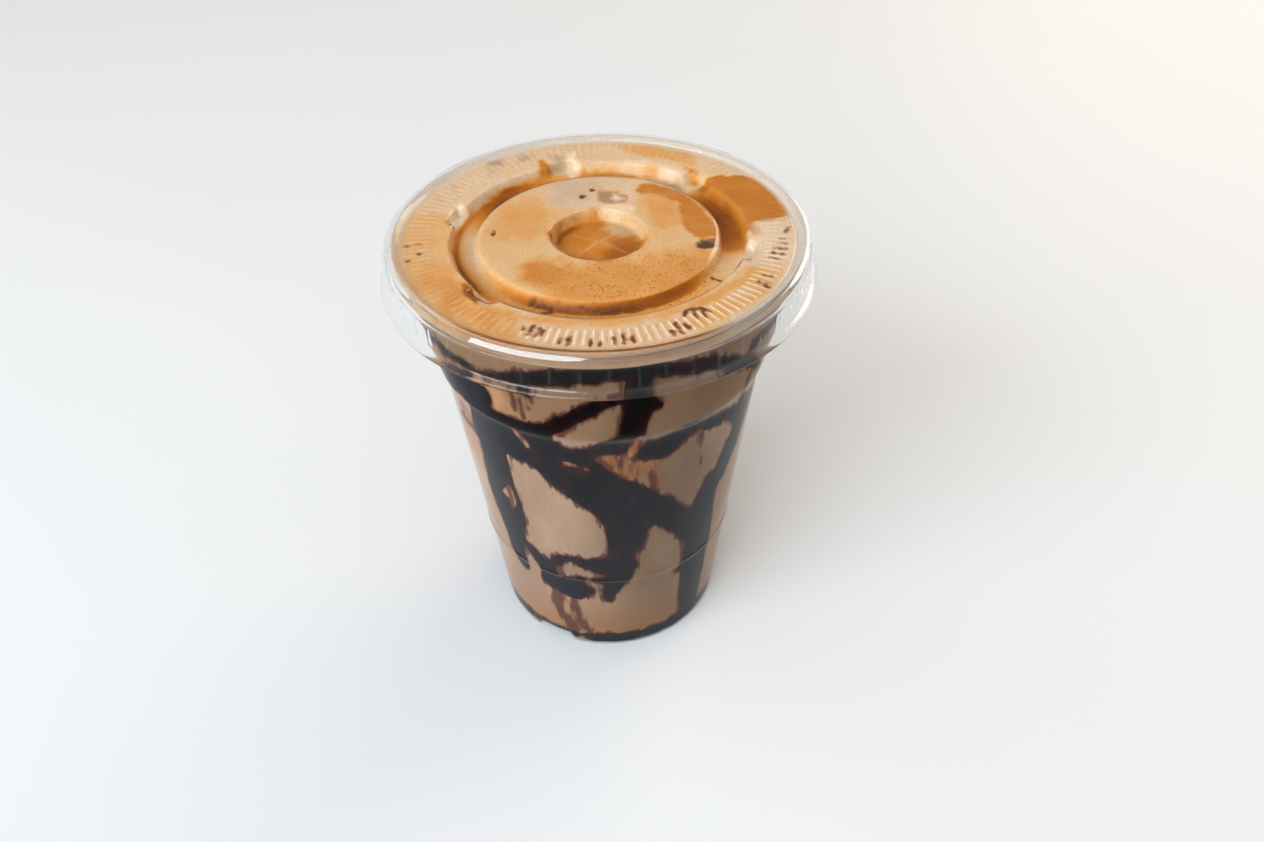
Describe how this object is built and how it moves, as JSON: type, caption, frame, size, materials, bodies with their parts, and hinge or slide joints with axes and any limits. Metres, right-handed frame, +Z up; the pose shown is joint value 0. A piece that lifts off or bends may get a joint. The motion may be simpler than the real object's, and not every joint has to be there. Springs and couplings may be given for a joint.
{
  "type": "lidded cup of iced chocolate coffee",
  "caption": "Clear tapered disposable cup with a flat clear lid, full of milky iced coffee with dark chocolate syrup runs inside the wall and pale foam under the lid.",
  "frame": {"origin": "middle of the foot ring, on the table", "axes": "+Z up through the cup's axis, -Y towards the viewer, +X to the picture's right"},
  "size_m": [0.1046, 0.1046, 0.1182],
  "materials": {
    "cup_plastic": "clear thermoformed PET, glossy",
    "lid_plastic": "clear thermoformed PET, glossy",
    "foam": "milk foam stained with coffee, soft and matt",
    "coffee": "opaque milky coffee with near-black chocolate syrup"
  },
  "bodies": {
    "root": {"cup": "cup_plastic", "lid": "lid_plastic", "foam": "foam", "drink": "coffee"}
  },
  "joints": []
}
